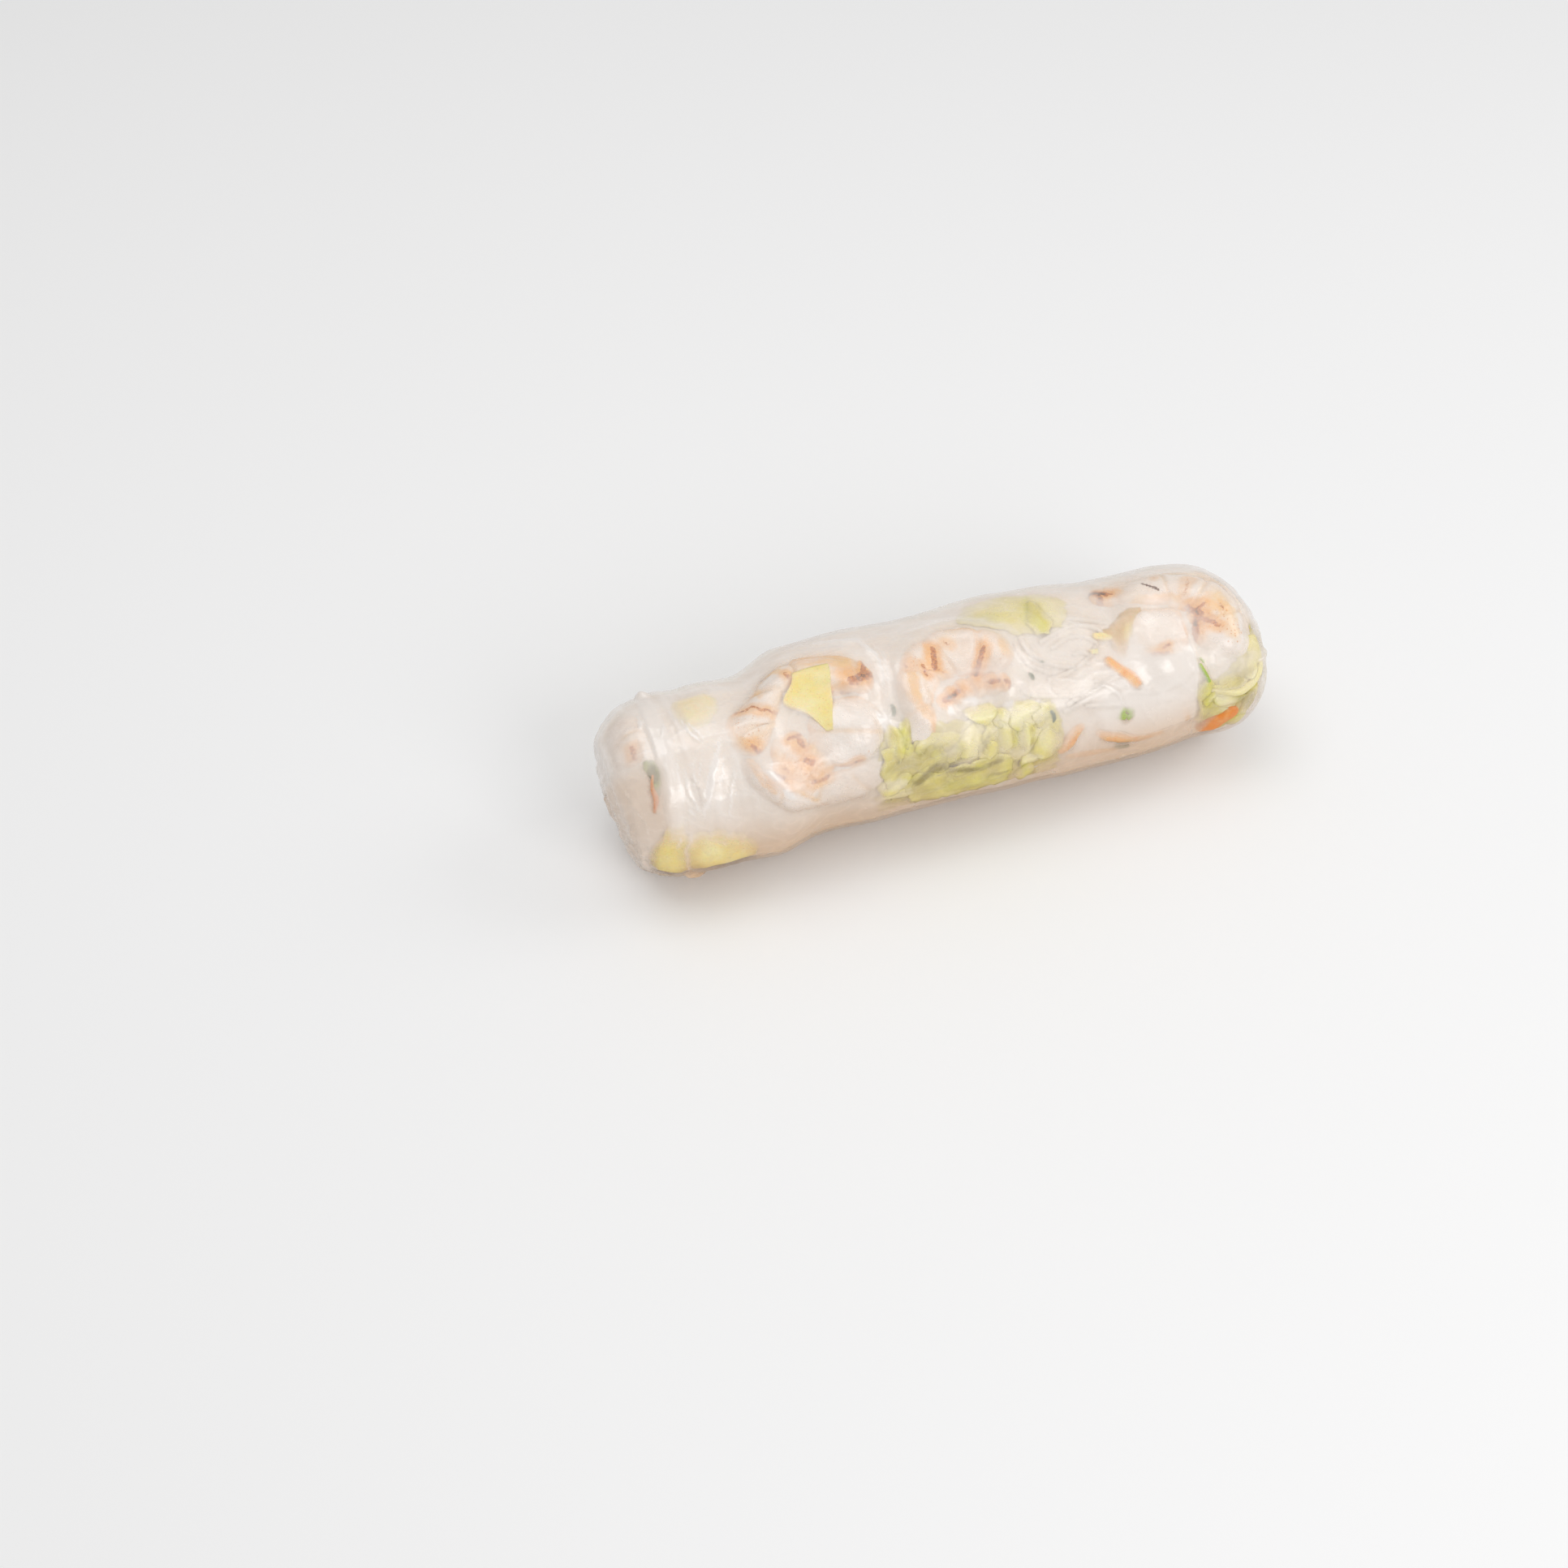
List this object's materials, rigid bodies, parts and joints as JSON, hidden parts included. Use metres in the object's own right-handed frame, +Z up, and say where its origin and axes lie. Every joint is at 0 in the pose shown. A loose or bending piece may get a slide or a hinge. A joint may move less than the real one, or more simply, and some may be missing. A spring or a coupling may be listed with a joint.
{
  "type": "rice paper roll",
  "caption": "Fresh rice paper roll: soft translucent paper wrapped round shrimps, leaves and noodles, with tucked ends and a flattened strip to rest on.",
  "frame": {"origin": "middle of the pressed strip that the roll rests on, under the centre of its box", "axes": "+X along the roll, -Y towards the side that shows the shrimps best, +Z up"},
  "size_m": [0.15, 0.0442, 0.0421],
  "materials": {
    "rice_paper": "moist, milky and translucent, with a soft sheen and fine wrinkles",
    "shrimp": "cooked flesh, white to pale pink with orange streaks",
    "leaf": "crisp lettuce, pale ribs and fresh green edges",
    "noodle": "soaked glass noodles, half clear and wet",
    "egg": "thin yellow omelette, smooth and slightly pitted",
    "carrot": "raw cut carrot, moist with fine grain along the shred",
    "herb": "fresh green stem and leaf"
  },
  "bodies": {
    "root": {"rice_paper_roll": "rice_paper"}
  },
  "joints": []
}
